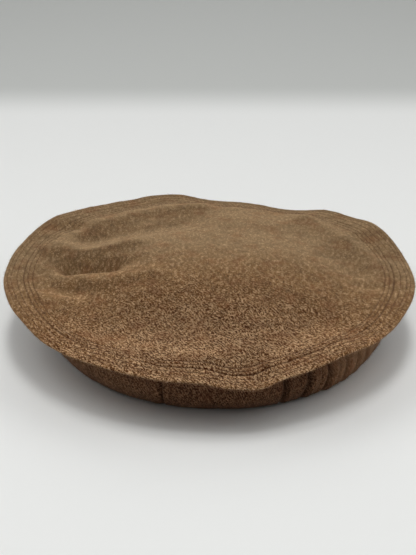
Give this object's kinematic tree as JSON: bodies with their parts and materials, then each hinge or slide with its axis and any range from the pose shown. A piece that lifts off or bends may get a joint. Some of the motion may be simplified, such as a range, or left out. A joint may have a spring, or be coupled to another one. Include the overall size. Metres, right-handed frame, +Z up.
{
  "type": "pakol hat",
  "caption": "Soft round wool cap with a flat stitched crown whose rim overhangs a thick band rolled up from its side.",
  "frame": {"origin": "on the surface the hat rests on, under the middle of the crown", "axes": "+Z up through the crown; -Y towards the side of the hat where the rim droops lowest; +X across it, with the roll's gathers between -Y and +X"},
  "size_m": [0.2868, 0.2874, 0.0549],
  "materials": {
    "crown_wool": "fulled wool twill, brushed, heathered brown",
    "side_wool": "fulled wool twill, brushed, heathered brown"
  },
  "bodies": {
    "root": {"crown": "crown_wool", "rolled_side": "side_wool"}
  },
  "joints": []
}
